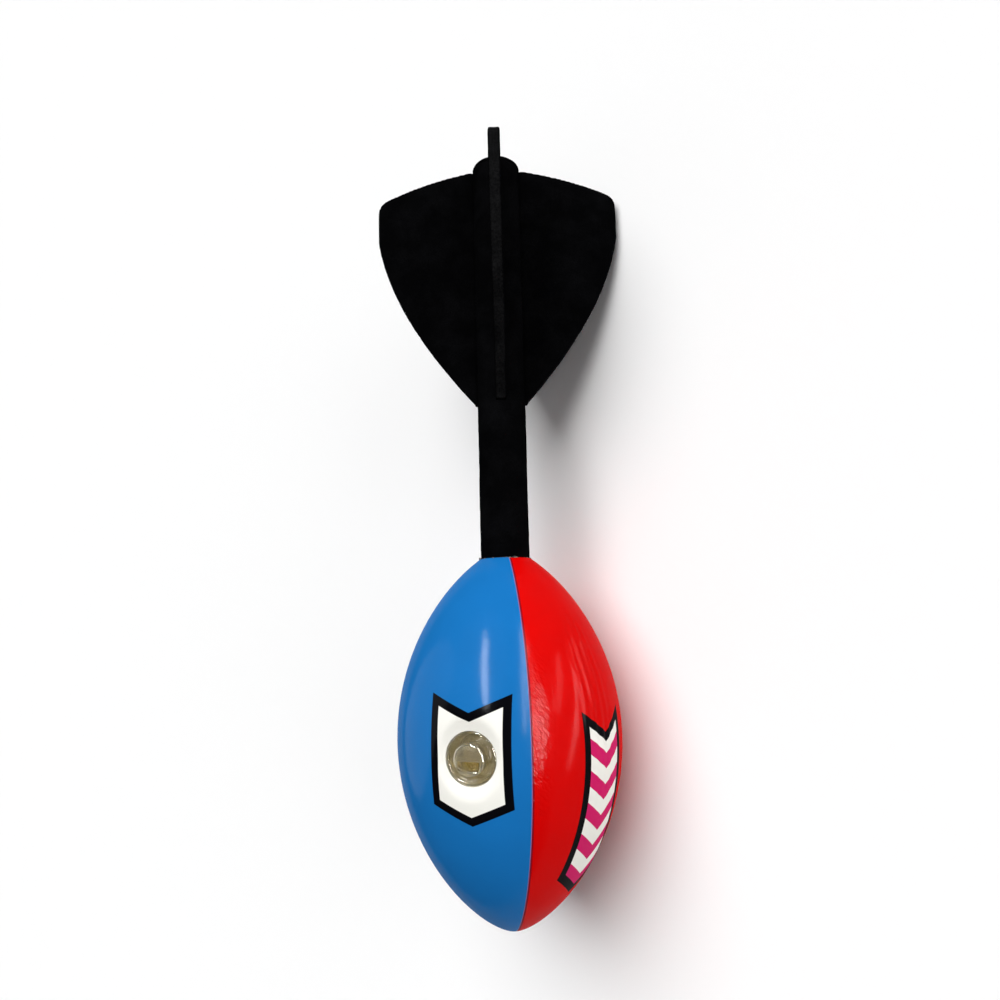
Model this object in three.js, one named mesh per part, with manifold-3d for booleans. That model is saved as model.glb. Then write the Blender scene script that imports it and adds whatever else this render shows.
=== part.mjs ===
// A throwing toy: a foam ball shaped like a football, with two whistles, on a finned foam tail.
// Millimetres, +Z up. The toy lies at rest: the ball and the corners of two fins touch z = 0, the tail
// points along +Y, and the origin is at the middle of the box's underside.
// Each piece is made in the toy's own frame: origin at the ball's centre, +Y up the tail, +Z towards
// the near fin and +X towards the right fin. The toy is then rolled and pitched into its stance.
import * as THREE from "three";
import { mergeVertices } from "three/addons/utils/BufferGeometryUtils.js";
import Module from "manifold-3d";

const wasm = await Module();
wasm.setup();

// General
const fitGap = 0.3; // clearance between neighbouring pieces
const overrun = 3; // how far a cutting tool runs past what it cuts
const degree = Math.PI / 180;

// Ball: a core in two cover halves, which meet at the colour seam
const ballRadius = 38;
const ballHalfLength = 64;
const ballTaperPower = 1.41; // the profile's radius follows a sine to this power
const coverThickness = 2.4;
const seamGap = 0.3;
const seamAngle = 10.2 * degree; // from the near fin towards the right fin
const ballSides = 64;
const ballRings = 26;
const coreSides = 32;
const coreRings = 16;

// Tail: a foam sleeve on a stiff rod, which an anchor holds in the ball
const sleeveRadius = 8.5;
const sleeveInBall = 12; // from the ball's mouth down to the sleeve's end
const handleLength = 55; // from the ball's mouth up to the fins
const rodRadius = 3;
const rodTopCover = 6; // from the sleeve's top down to the rod's end
const anchorHubRadius = 6;
const anchorHubLength = 18;
const anchorFlangeRadius = 14;
const anchorFlangeThickness = 2.5;
const anchorDepth = 58; // from the ball's mouth down to the anchor's underside
const anchorFloor = 3; // closed end of the anchor's bore
const roundSides = 40;

// Fins: four sheets, each with a pinched tab in a slot of the sleeve
const finChord = 87.5; // length along the tail at the root
const finSpan = 43.3; // from the axis to the tip
const finThickness = 3.8;
const finTabThickness = 3;
const finSlotDepth = 3;
const finCornerRadius = 4;
const finCornerShare = 0.869; // height of the sharp tip corner, as a share of the chord
const finTipFootShare = 0.703; // foot of the straight tip edge
const finTaperPullShares = [0.912, 0.394]; // control point of the tapering edge, of span and chord
const finTopPullShares = [0.607, 0.96]; // control point of the top edge, of span and chord
const finCurveSegments = 10;
const finSides = ["right", "far", "left", "near"]; // in turn order about +Y, from +X
const finTurn = (2 * Math.PI) / finSides.length;

// End cap that closes the sleeve
const capHeight = 2.6;
const capShoulderWidth = 5; // a quarter ellipse, wider than high
const capShoulderHeight = 2.4;
const capPlugLength = 4;
const capShoulderSteps = 6;

// Whistles: a clear cup with a slotted drum standing in it, set in a dish of the cover
const whistleAngle = 61.2 * degree; // each side of the middle of the blue cover
const whistleToNose = 1.2; // from the ball's centre
const cupRadius = 7.8;
const cupWall = 0.8;
const cupDepth = 13;
const cupFloor = 1.5;
const cupGrooveDepth = 1.4;
const drumRadius = 4.9;
const drumWall = 0.8;
const drumHeight = 3.6; // from the groove's floor
const slotWidth = 7;
const slotHeight = 2.7;
const slotToNose = 1.8; // from the drum's axis
const lipWidth = 5.4;
const lipHeight = 0.5;
const lipThickness = 0.9;
const dishDepth = 2.3; // from the ball's crown to the cup's rim
const dishRadius = 10.6;
const dishRise = 0.9; // from the cup's rim to the dish's edge
const whistleSides = 36;

// Stance: the roll that puts two fins on the ground
const stanceRoll = finTurn / 2;

// Materials
const blueSkin = { color: 0x1f6fb8, roughness: 0.28, metalness: 0 };
const redSkin = { color: 0xd0100c, roughness: 0.28, metalness: 0 };
const paleFoam = { color: 0xd9d2bf, roughness: 0.95, metalness: 0 };
const blackFoam = { color: 0x0c0c0d, roughness: 0.9, metalness: 0 };
const clearPlastic = { color: 0x8f8768, roughness: 0.12, metalness: 0 };
const whitePlastic = { color: 0xe4e4e0, roughness: 0.5, metalness: 0 };

// A closed geometry as a solid that can be joined and cut.
function toSolid(geometry) {
  const bare = geometry.index ? geometry.toNonIndexed() : geometry.clone();
  bare.deleteAttribute("normal");
  bare.deleteAttribute("uv");
  const merged = mergeVertices(bare);
  const mesh = new wasm.Mesh({
    numProp: 3,
    vertProperties: merged.attributes.position.array,
    triVerts: new Uint32Array(merged.index.array),
  });
  return new wasm.Manifold(mesh);
}

// A solid as a geometry.
function toGeometry(solid) {
  const mesh = solid.getMesh();
  const geometry = new THREE.BufferGeometry();
  geometry.setAttribute("position", new THREE.BufferAttribute(mesh.vertProperties, 3));
  geometry.setIndex(new THREE.BufferAttribute(mesh.triVerts, 1));
  geometry.computeVertexNormals();
  return geometry;
}

// A turned body about +Y from [radius, height] pairs, listed from the low end of the axis outwards.
function turned(pairs, sides) {
  const profile = pairs.map(([radius, height]) => new THREE.Vector2(radius, height));
  return new THREE.LatheGeometry(profile, sides);
}

// A block from its low corner to its high corner.
function block(low, high) {
  const size = high.map((value, axis) => value - low[axis]);
  const middle = high.map((value, axis) => (value + low[axis]) / 2);
  return new THREE.BoxGeometry(...size).translate(...middle);
}

// The ball's outline, drawn in by a depth: nose pole to the height where it narrows to the end radius.
function ballOutline(depth, endRadius, rings) {
  const radius = ballRadius - depth;
  const halfLength = ballHalfLength - depth;
  const endTurn = Math.PI - Math.asin((endRadius / radius) ** (1 / ballTaperPower));
  const pairs = [[0, -halfLength]];
  for (let ring = 1; ring <= rings; ring += 1) {
    const turn = (endTurn * ring) / rings;
    pairs.push([radius * Math.sin(turn) ** ballTaperPower, -halfLength * Math.cos(turn)]);
  }
  return pairs;
}

// The radius of the ball at a height, drawn in by a depth.
function ballRadiusAt(height, depth) {
  const turn = Math.acos(-height / (ballHalfLength - depth));
  return (ballRadius - depth) * Math.sin(turn) ** ballTaperPower;
}

// Heights along the axis that the tail's pieces share
const mouthRadius = sleeveRadius + fitGap;
const mouthHeight = ballOutline(0, mouthRadius, ballRings).at(-1)[1];
const sleeveFoot = mouthHeight - sleeveInBall;
const anchorFoot = mouthHeight - anchorDepth;
const anchorTop = anchorFoot + anchorHubLength;
const finFoot = mouthHeight + handleLength;
const finTop = finFoot + finChord;
const sleeveTop = finTop + fitGap;
const rodFoot = anchorFoot + anchorFloor + fitGap;
const rodTop = sleeveTop - rodTopCover;
const finTabReach = sleeveRadius - finSlotDepth + fitGap;
const finInnerEdge = sleeveRadius + fitGap;

// Radii along a whistle's axis, which runs square to the toy's axis
const cupRim = ballRadiusAt(-whistleToNose, 0) - dishDepth;
const cupFoot = cupRim - cupDepth;
const grooveFloor = cupRim - cupGrooveDepth;
const drumFoot = grooveFloor + fitGap;
const drumTop = grooveFloor + drumHeight;
const blueMiddle = seamAngle - Math.PI / 2;
const whistleAngles = [blueMiddle + whistleAngle, blueMiddle - whistleAngle];

// Carries a body turned about +Y to a whistle's place: its axis points out of the ball.
function toWhistle(geometry, angle) {
  return geometry
    .rotateX(Math.PI / 2)
    .rotateY(angle)
    .translate(0, -whistleToNose, 0);
}

// The dish round a whistle with the hole for its cup, as one cutting tool.
function dishTool(angle) {
  const holeRadius = cupRadius + fitGap;
  const slope = dishRise / (dishRadius - cupRadius);
  const mouth = dishRadius + overrun;
  const top = ballRadius + overrun;
  const tool = turned(
    [
      [0, cupFoot - fitGap],
      [holeRadius, cupFoot - fitGap],
      [holeRadius, cupRim],
      [mouth, cupRim + slope * (mouth - holeRadius)],
      [mouth, top],
      [0, top],
    ],
    whistleSides,
  );
  return toSolid(toWhistle(tool, angle));
}

// One half of the ball's skin: a shell cut at the seam and at its whistle holes.
function coverPanel(middleAngle) {
  const outer = ballOutline(0, mouthRadius, ballRings);
  const inner = ballOutline(coverThickness, mouthRadius, coreRings);
  const full = toSolid(turned([...outer, [0, outer.at(-1)[1]]], ballSides));
  const innerTop = inner.at(-1)[1] + coverThickness + overrun;
  const hollow = toSolid(turned([...inner, [mouthRadius, innerTop], [0, innerTop]], coreSides));
  const reach = ballHalfLength + overrun;
  const side = block([-reach, -reach, seamGap / 2], [reach, reach, reach]).rotateY(middleAngle);
  let panel = full.subtract(hollow).intersect(toSolid(side));
  for (const angle of whistleAngles) panel = panel.subtract(dishTool(angle));
  return toGeometry(panel);
}

// The foam core, with the sleeve's socket, the rod's hole, the anchor's pocket and the cups' holes.
function foamCore() {
  const outline = ballOutline(coverThickness + fitGap, mouthRadius, coreRings);
  const rodHole = rodRadius + fitGap;
  const hubHole = anchorHubRadius + fitGap;
  const flangeHole = anchorFlangeRadius + fitGap;
  const socketFloor = sleeveFoot - fitGap;
  const flangeTop = anchorFoot + anchorFlangeThickness + fitGap;
  const body = turned(
    [
      ...outline,
      [mouthRadius, socketFloor],
      [rodHole, socketFloor],
      [rodHole, anchorTop + fitGap],
      [hubHole, anchorTop + fitGap],
      [hubHole, flangeTop],
      [flangeHole, flangeTop],
      [flangeHole, anchorFoot - fitGap],
      [0, anchorFoot - fitGap],
    ],
    coreSides,
  );
  let core = toSolid(body);
  for (const angle of whistleAngles) core = core.subtract(dishTool(angle));
  return toGeometry(core);
}

// The anchor: a flanged hub with a blind bore for the rod.
function rodAnchor() {
  const bore = rodRadius + fitGap;
  return turned(
    [
      [0, anchorFoot],
      [anchorFlangeRadius, anchorFoot],
      [anchorFlangeRadius, anchorFoot + anchorFlangeThickness],
      [anchorHubRadius, anchorFoot + anchorFlangeThickness],
      [anchorHubRadius, anchorTop],
      [bore, anchorTop],
      [bore, anchorFoot + anchorFloor],
      [0, anchorFoot + anchorFloor],
    ],
    roundSides,
  );
}

// The stiff rod from the anchor to just under the sleeve's top.
function tailRod() {
  const length = rodTop - rodFoot;
  const rod = new THREE.CylinderGeometry(rodRadius, rodRadius, length, roundSides / 2);
  return rod.translate(0, rodFoot + length / 2, 0);
}

// The foam sleeve, with a blind bore for the rod, a bore for the cap's plug and four fin slots.
function tailSleeve() {
  const bore = rodRadius + fitGap;
  const body = turned(
    [
      [bore, sleeveFoot],
      [sleeveRadius, sleeveFoot],
      [sleeveRadius, sleeveTop],
      [bore, sleeveTop],
      [bore, sleeveFoot],
    ],
    roundSides,
  );
  let sleeve = toSolid(body);
  const halfSlot = finTabThickness / 2 + fitGap;
  const slotFloor = sleeveRadius - finSlotDepth;
  const low = [slotFloor, finFoot - fitGap, -halfSlot];
  const high = [sleeveRadius + overrun, sleeveTop + overrun, halfSlot];
  for (const index of finSides.keys()) {
    const slot = block(low, high).rotateY(finTurn * index);
    sleeve = sleeve.subtract(toSolid(slot));
  }
  return toGeometry(sleeve);
}

// The domed foam cap with its plug in the sleeve's bore.
function endCap() {
  const foot = sleeveTop + fitGap;
  const top = foot + capHeight;
  const plugFoot = foot - fitGap - capPlugLength;
  const pairs = [
    [0, plugFoot],
    [rodRadius, plugFoot],
    [rodRadius, foot],
    [sleeveRadius, foot],
  ];
  for (let step = 0; step <= capShoulderSteps; step += 1) {
    const turn = ((Math.PI / 2) * step) / capShoulderSteps;
    const inset = capShoulderWidth * (1 - Math.cos(turn));
    const drop = capShoulderHeight * (1 - Math.sin(turn));
    pairs.push([sleeveRadius - inset, top - drop]);
  }
  pairs.push([0, top]);
  return turned(pairs, roundSides);
}

// A fin's sheet in its own plane: radius along X, height along Y.
function finOutline() {
  const tipFoot = finFoot + finTipFootShare * finChord;
  const corner = new THREE.Vector2(finSpan, finFoot + finCornerShare * finChord);
  const [taperOut, taperUp] = finTaperPullShares;
  const [topOut, topUp] = finTopPullShares;
  const topPull = new THREE.Vector2(topOut * finSpan, finFoot + topUp * finChord);
  const cornerEnd = topPull.clone().sub(corner).setLength(finCornerRadius).add(corner);
  const shape = new THREE.Shape();
  shape.moveTo(finInnerEdge, finFoot);
  shape.quadraticCurveTo(taperOut * finSpan, finFoot + taperUp * finChord, finSpan, tipFoot);
  shape.lineTo(finSpan, corner.y - finCornerRadius);
  shape.quadraticCurveTo(corner.x, corner.y, cornerEnd.x, cornerEnd.y);
  shape.quadraticCurveTo(topPull.x, topPull.y, finInnerEdge, finTop);
  shape.closePath();
  return shape;
}

// One fin: the sheet with its thinner tab, pointing along +X before it is turned to its place.
function fin(angle) {
  const sheet = new THREE.ExtrudeGeometry(finOutline(), {
    depth: finThickness,
    bevelEnabled: false,
    curveSegments: finCurveSegments,
  }).translate(0, 0, -finThickness / 2);
  const halfTab = finTabThickness / 2;
  const tab = block([finTabReach, finFoot, -halfTab], [finInnerEdge + fitGap, finTop, halfTab]);
  return toGeometry(toSolid(sheet).add(toSolid(tab))).rotateY(angle);
}

// A whistle's cup: an outer wall, a groove round the drum and a closed chamber under it.
function whistleCup(angle) {
  const grooveRadius = cupRadius - cupWall;
  const chamberRadius = drumRadius - drumWall;
  const cup = turned(
    [
      [0, cupFoot],
      [cupRadius, cupFoot],
      [cupRadius, cupRim],
      [grooveRadius, cupRim],
      [grooveRadius, grooveFloor],
      [chamberRadius, grooveFloor],
      [chamberRadius, cupFoot + cupFloor],
      [0, cupFoot + cupFloor],
    ],
    whistleSides,
  );
  return toWhistle(cup, angle);
}

// A whistle's drum: an upturned cup with the air slot and its lip across the nose side.
function whistleDrum(angle) {
  const boreRadius = drumRadius - drumWall;
  const shell = turned(
    [
      [boreRadius, drumFoot],
      [drumRadius, drumFoot],
      [drumRadius, drumTop],
      [0, drumTop],
      [0, drumTop - drumWall],
      [boreRadius, drumTop - drumWall],
      [boreRadius, drumFoot],
    ],
    whistleSides,
  );
  const slotLow = slotToNose - slotHeight / 2;
  const slotHigh = slotToNose + slotHeight / 2;
  const slot = block(
    [-slotWidth / 2, drumTop - drumWall - overrun, slotLow],
    [slotWidth / 2, drumTop + overrun, slotHigh],
  );
  const lip = block(
    [-lipWidth / 2, drumTop - drumWall / 2, slotHigh],
    [lipWidth / 2, drumTop + lipHeight, slotHigh + lipThickness],
  );
  const bore = turned(
    [
      [0, drumFoot - overrun],
      [boreRadius, drumFoot - overrun],
      [boreRadius, drumTop - drumWall],
      [0, drumTop - drumWall],
    ],
    whistleSides,
  );
  const drum = toSolid(shell).subtract(toSolid(slot).add(toSolid(bore))).add(toSolid(lip));
  return toWhistle(toGeometry(drum), angle);
}

// A named piece in its material.
function piece(name, geometry, finish) {
  const mesh = new THREE.Mesh(geometry, new THREE.MeshStandardMaterial(finish));
  mesh.name = name;
  return mesh;
}

const ball = new THREE.Group();
ball.add(piece("foam_core", foamCore(), paleFoam));
ball.add(piece("blue_cover", coverPanel(blueMiddle), blueSkin));
ball.add(piece("red_cover", coverPanel(blueMiddle + Math.PI), redSkin));
["near", "far"].forEach((side, index) => {
  const angle = whistleAngles[index];
  ball.add(piece(`${side}_whistle_cup`, whistleCup(angle), clearPlastic));
  ball.add(piece(`${side}_whistle_drum`, whistleDrum(angle), clearPlastic));
});

const tail = new THREE.Group();
tail.add(piece("rod_anchor", rodAnchor(), whitePlastic));
tail.add(piece("tail_rod", tailRod(), whitePlastic));
tail.add(piece("tail_sleeve", tailSleeve(), blackFoam));
tail.add(piece("tail_end_cap", endCap(), blackFoam));
finSides.forEach((side, index) => {
  tail.add(piece(`${side}_fin`, fin(finTurn * index), blackFoam));
});

const toy = new THREE.Group();
toy.add(ball, tail);

// The lowest point of a group's meshes once the toy is rolled and pitched.
function lowest(group, pitch) {
  toy.rotation.set(-pitch, stanceRoll, 0);
  toy.updateMatrixWorld(true);
  return new THREE.Box3().setFromObject(group, true).min.z;
}

// The pitch at which the ball and the tail reach equally low.
function restingPitch() {
  const halvings = 30;
  const steepest = 45 * degree;
  let low = 0;
  let high = steepest;
  for (let halving = 0; halving < halvings; halving += 1) {
    const pitch = (low + high) / 2;
    if (lowest(tail, pitch) > lowest(ball, pitch)) {
      low = pitch;
    } else {
      high = pitch;
    }
  }
  return (low + high) / 2;
}

toy.rotation.set(-restingPitch(), stanceRoll, 0);
toy.updateMatrixWorld(true);
const bounds = new THREE.Box3().setFromObject(toy, true);
const centre = bounds.getCenter(new THREE.Vector3());
toy.position.set(-centre.x, -centre.y, -bounds.min.z);

const part = new THREE.Group();
part.add(toy);

export default part;
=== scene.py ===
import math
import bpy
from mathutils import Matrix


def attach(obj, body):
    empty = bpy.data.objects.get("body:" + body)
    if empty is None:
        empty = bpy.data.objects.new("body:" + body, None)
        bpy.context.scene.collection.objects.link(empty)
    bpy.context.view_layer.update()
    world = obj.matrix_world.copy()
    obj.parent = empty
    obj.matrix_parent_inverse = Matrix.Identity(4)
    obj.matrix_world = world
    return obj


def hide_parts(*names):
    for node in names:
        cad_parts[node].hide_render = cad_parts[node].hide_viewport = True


bl_info = {
    "name": "Finned Throwing Toy",
    "version": (1, 0, 0),
    "blender": (4, 5, 0),
    "location": "View3D > Sidebar > Throwing Toy",
    "description": "Builds the foam ball, whistles and finned tail of a throwing toy around its frame",
    "category": "Add Mesh",
}

import bmesh
import bpy
from bpy.props import FloatProperty, FloatVectorProperty, IntProperty, PointerProperty
from bpy.types import Operator, Panel, PropertyGroup
from mathutils import Matrix, Vector, noise

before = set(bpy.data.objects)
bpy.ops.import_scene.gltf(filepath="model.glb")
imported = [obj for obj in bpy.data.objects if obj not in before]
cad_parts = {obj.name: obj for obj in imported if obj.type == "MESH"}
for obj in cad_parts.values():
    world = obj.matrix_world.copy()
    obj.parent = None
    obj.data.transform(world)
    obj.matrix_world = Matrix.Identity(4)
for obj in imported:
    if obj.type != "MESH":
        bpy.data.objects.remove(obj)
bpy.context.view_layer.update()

PER_MM = 1000.0
SHARP_ANGLE = math.radians(38)
WELD = 1e-6
CUT = "cut"
FOAM = "black_foam"
WHISTLE_SIDES = ("near", "far")
FIN_SIDES = ("right", "far", "left", "near")


def length(name, description, default):
    """A length that a user can change."""
    return FloatProperty(
        name=name, description=description, default=default, min=0.0, precision=5, unit="LENGTH"
    )


def angle(name, description, degrees):
    """An angle that a user can change."""
    return FloatProperty(
        name=name, description=description, default=math.radians(degrees), subtype="ANGLE"
    )


def share(name, description, default):
    """A share of another size that a user can change."""
    return FloatProperty(
        name=name, description=description, default=default, min=0.0, max=1.0, subtype="FACTOR"
    )


def colour(name, description, default):
    """A linear colour that a user can change."""
    return FloatVectorProperty(
        name=name, description=description, default=default, size=3, min=0.0, max=1.0, subtype="COLOR"
    )


class BallSizes(PropertyGroup):
    """The foam ball: a core in two cover halves."""

    radius: length("Radius", "Half the ball's width", 0.038)
    half_length: length("Half length", "From the ball's centre to its nose", 0.064)
    taper: FloatProperty(name="Taper", description="Power of the sine in the profile", default=1.41)
    cover: length("Cover", "Thickness of the cover halves", 0.0024)
    gap: length("Gap", "Clearance between neighbouring pieces", 0.0003)
    seam: length("Seam", "Width of the joint between the cover halves", 0.00012)
    seam_turn: angle("Seam turn", "From the near fin round to the colour seam", 10.2)
    fold: length("Fold", "Height of the soft folds in the red film", 0.0002)


class TailSizes(PropertyGroup):
    """The tail: a foam sleeve on a rod, with its end cap."""

    radius: length("Radius", "Radius of the foam sleeve", 0.0085)
    in_ball: length("In ball", "From the ball's mouth to the sleeve's foot", 0.012)
    handle: length("Handle", "From the ball's mouth to the fins", 0.055)
    rod: length("Rod", "Radius of the rod", 0.003)
    anchor_depth: length("Anchor depth", "From the ball's mouth to the anchor's foot", 0.058)
    anchor_hub: length("Anchor hub", "Radius of the anchor's hub", 0.006)
    anchor_length: length("Anchor length", "Length of the anchor's hub", 0.018)
    anchor_flange: length("Anchor flange", "Radius of the anchor's flange", 0.014)
    flange_depth: length("Flange depth", "Thickness of the anchor's flange", 0.0025)
    cap_height: length("Cap height", "Height of the end cap", 0.0026)
    cap_round: length("Cap round", "Width of the end cap's rounding", 0.005)
    cap_drop: length("Cap drop", "Height of the end cap's rounding", 0.0024)
    cap_plug: length("Cap plug", "Length of the end cap's plug", 0.004)


class FinSizes(PropertyGroup):
    """The fins: foam sheets with a tab in the sleeve."""

    chord: length("Chord", "Length along the tail", 0.0875)
    span: length("Span", "From the tail's axis to the tip", 0.0433)
    thickness: length("Thickness", "Thickness of the sheet", 0.0038)
    tab: length("Tab", "Thickness of the tab", 0.003)
    slot: length("Slot", "Depth of the slot in the sleeve", 0.003)
    corner: length("Corner", "Rounding of the tip corner", 0.004)
    corner_share: share("Corner height", "Height of the tip corner along the chord", 0.869)
    tip_share: share("Tip foot", "Foot of the straight tip edge along the chord", 0.703)
    grain: length("Grain", "Size of the mesh that the cut foam is made of", 0.00055)


class WhistleSizes(PropertyGroup):
    """The whistles: a cup with a slotted drum, in a dish of the cover."""

    turn: angle("Turn", "From the middle of the blue cover to each whistle", 61.2)
    to_nose: length("To nose", "From the ball's centre to the whistles", 0.0012)
    cup: length("Cup", "Radius of the cup", 0.0078)
    wall: length("Wall", "Wall of the cup and the drum", 0.0008)
    depth: length("Depth", "Depth of the cup", 0.013)
    floor: length("Floor", "Floor of the cup", 0.0015)
    groove: length("Groove", "Depth of the groove round the drum", 0.0014)
    drum: length("Drum", "Radius of the drum", 0.0049)
    drum_height: length("Drum height", "From the groove's floor to the drum's top", 0.0036)
    crown: length("Crown", "Rounding of the drum's top edge", 0.0008)
    slot_width: length("Slot width", "Width of the air slot", 0.007)
    slot_height: length("Slot height", "Height of the air slot", 0.0027)
    slot_to_nose: length("Slot to nose", "From the drum's axis to the slot's middle", 0.0018)
    lip: length("Lip", "Height of the slot's lip", 0.0005)
    lip_width: length("Lip width", "Width of the slot's lip", 0.0054)
    lip_thickness: length("Lip thickness", "Thickness of the slot's lip", 0.0009)
    dish: length("Dish", "From the ball's crown to the cup's rim", 0.0023)
    dish_radius: length("Dish radius", "Radius of the dish", 0.0106)
    dish_rise: length("Dish rise", "From the cup's rim to the dish's edge", 0.0009)
    patch: length("Patch", "Radius of the finely meshed patch round a whistle", 0.014)
    round: length("Round", "Rounding of the moulded edges", 0.00028)


class ToyColours(PropertyGroup):
    """The toy's colours."""

    blue: colour("Blue", "Blue film", (0.008, 0.143, 0.42))
    red: colour("Red", "Red film", (0.60, 0.0012, 0.0009))
    pale_edge: colour("Pale edge", "Pale edge of the blue film at the seam", (0.30, 0.11, 0.23))
    # Painted shade: the red film is darkened along the seam, where it would curve away into the groove.
    painted_seam_shade: colour("Dark edge", "Edge of the red film, drawn into the seam", (0.22, 0.003, 0.01))
    white: colour("White", "White print", (0.82, 0.81, 0.755))
    black: colour("Black", "Black print", (0.002, 0.002, 0.003))
    magenta: colour("Magenta", "Magenta print", (0.58, 0.012, 0.12))
    foam: colour("Foam", "Black foam of the tail", (0.0014, 0.0014, 0.0016))
    # Also painted on the cap's top, where it stands partly for cut foam and partly for light from
    # above.
    cut_foam: colour("Cut foam", "Open cells of the tail's foam where it is cut", (0.09, 0.09, 0.091))
    core: colour("Core", "Pale foam of the core", (0.70, 0.66, 0.56))
    clear: colour("Clear", "Clear plastic of the whistles' drums", (0.51, 0.47, 0.34))
    smoke: colour("Smoke", "Smoky clear plastic of the whistles' cups", (0.31, 0.29, 0.20))
    # Partly painted light: the amber is the tint seen deep in a whistle's chamber, painted brighter to
    # stand for light scattered inside it.
    amber: colour("Amber", "Plastic deep in the whistles' chambers", (0.62, 0.45, 0.10))
    plastic: colour("Plastic", "White plastic of the rod and anchor", (0.76, 0.76, 0.73))
    floor: colour("Floor", "Studio floor", (0.95, 0.95, 0.95))


class MeshSteps(PropertyGroup):
    """How finely the pieces are meshed."""

    ball_rings: IntProperty(name="Ball rings", description="Rings along the ball", default=150)
    ball_steps: IntProperty(name="Ball steps", description="Steps round half the ball", default=150)
    round_steps: IntProperty(name="Round steps", description="Steps round a turned piece", default=96)
    patch_steps: IntProperty(name="Patch steps", description="Steps round a whistle patch", default=120)
    patch_rings: IntProperty(name="Patch rings", description="Rings of a whistle patch", default=14)
    sleeve_rings: IntProperty(name="Sleeve rings", description="Rings along the sleeve", default=120)


GROUPS = {
    "toy_ball": BallSizes,
    "toy_tail": TailSizes,
    "toy_fin": FinSizes,
    "toy_whistle": WhistleSizes,
    "toy_colours": ToyColours,
    "toy_steps": MeshSteps,
}


def sizes(name):
    """One group of the scene's sizes, such as ball or whistle."""
    return getattr(bpy.context.scene, "toy_" + name)


def corners(node):
    """The different corners of a CAD node."""
    decimals = 7
    found = {tuple(round(x, decimals) for x in v.co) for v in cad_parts[node].data.vertices}
    return [Vector(place) for place in sorted(found)]


def middle_of(points):
    """The mean of some points."""
    return sum(points, Vector()) / len(points)


def toy_place():
    """The toy's own frame in the row frame, read off the rod, the near fin and the core.

    Its origin is the ball's centre, +Y runs up the tail, +Z towards the near fin and +X to its right.
    """
    ball = sizes("ball")
    rod = corners("tail_rod")
    halfway = middle_of(rod).y
    foot = middle_of([v for v in rod if v.y < halfway])
    top = middle_of([v for v in rod if v.y > halfway])
    up = (top - foot).normalized()
    out = middle_of(corners("near_fin")) - foot
    toward = (out - out.dot(up) * up).normalized()
    side = up.cross(toward)
    core_nose = min((v - foot).dot(up) for v in corners("foam_core"))
    centre = foot + (core_nose + ball.half_length - ball.cover - ball.gap) * up
    place = Matrix((side, up, toward)).transposed().to_4x4()
    place.translation = centre
    return place


def turn_about_tail(turn):
    """A turn about the toy's axis, from the near fin towards the right fin."""
    return Matrix.Rotation(turn, 4, "Y")


def radius_at(height, depth=0.0):
    """The ball's radius at a height, drawn in by a depth."""
    ball = sizes("ball")
    turn = math.acos(-height / (ball.half_length - depth))
    return (ball.radius - depth) * math.sin(turn) ** ball.taper


def ball_outline(depth, end_radius, rings):
    """[radius, height] pairs from the nose to where the ball narrows to the end radius."""
    ball = sizes("ball")
    radius = ball.radius - depth
    half = ball.half_length - depth
    end_turn = math.pi - math.asin((end_radius / radius) ** (1 / ball.taper))
    pairs = [(0.0, -half)]
    for ring in range(1, rings + 1):
        turn = end_turn * ring / rings
        pairs.append((radius * math.sin(turn) ** ball.taper, -half * math.cos(turn)))
    return pairs


def mouth():
    """The radius and the height of the ball's mouth."""
    ball = sizes("ball")
    radius = sizes("tail").radius + ball.gap
    return radius, ball_outline(0.0, radius, 1)[-1][1]


def fin_heights():
    """Where the fins' sheets start and end along the tail."""
    foot = mouth()[1] + sizes("tail").handle
    return foot, foot + sizes("fin").chord


def sleeve_heights():
    """Where the sleeve starts and ends along the tail."""
    return mouth()[1] - sizes("tail").in_ball, fin_heights()[1] + sizes("ball").gap


def cup_rim():
    """From the toy's axis to the rim of a whistle's cup."""
    whistle = sizes("whistle")
    return radius_at(-whistle.to_nose) - whistle.dish


def blue_middle():
    """The turn of the blue cover's middle."""
    return sizes("ball").seam_turn - math.pi / 2


def whistle_turns():
    """The turns of the two whistles, near and far."""
    turn = sizes("whistle").turn
    return blue_middle() + turn, blue_middle() - turn


def whistle_place(turn):
    """A whistle's frame in the toy's: +Z points out of the ball and +Y up the tail."""
    return turn_about_tail(turn) @ Matrix.Translation((0.0, -sizes("whistle").to_nose, 0.0))


def wire(pairs, closed=False):
    """A bmesh with one line through [radius, height] pairs, out along +X."""
    bm = bmesh.new()
    verts = [bm.verts.new((radius, height, 0.0)) for radius, height in pairs]
    for pair in zip(verts, verts[1:]):
        bm.edges.new(pair)
    if closed:
        bm.edges.new((verts[-1], verts[0]))
    return bm


def spun(bm, steps, start=0.0, sweep=math.tau):
    """Turns a bmesh's line about +Y into a surface whose faces point outwards."""
    bmesh.ops.rotate(bm, matrix=Matrix.Rotation(start, 3, "Y"), verts=bm.verts)
    bmesh.ops.spin(
        bm,
        geom=bm.verts[:] + bm.edges[:],
        axis=(0.0, 1.0, 0.0),
        angle=sweep,
        steps=steps,
        use_merge=math.isclose(sweep, math.tau),
    )
    bmesh.ops.remove_doubles(bm, verts=bm.verts, dist=WELD)
    bmesh.ops.recalc_face_normals(bm, faces=bm.faces)
    return bm


def bevelled(bm, geom, offset, affect):
    """Rounds some corners of a bmesh's line, or some edges of its faces."""
    bmesh.ops.bevel(
        bm,
        geom=geom,
        offset=offset,
        segments=3,
        profile=0.5,
        affect=affect,
        material=-1,
        clamp_overlap=True,
    )
    return bm


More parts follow.
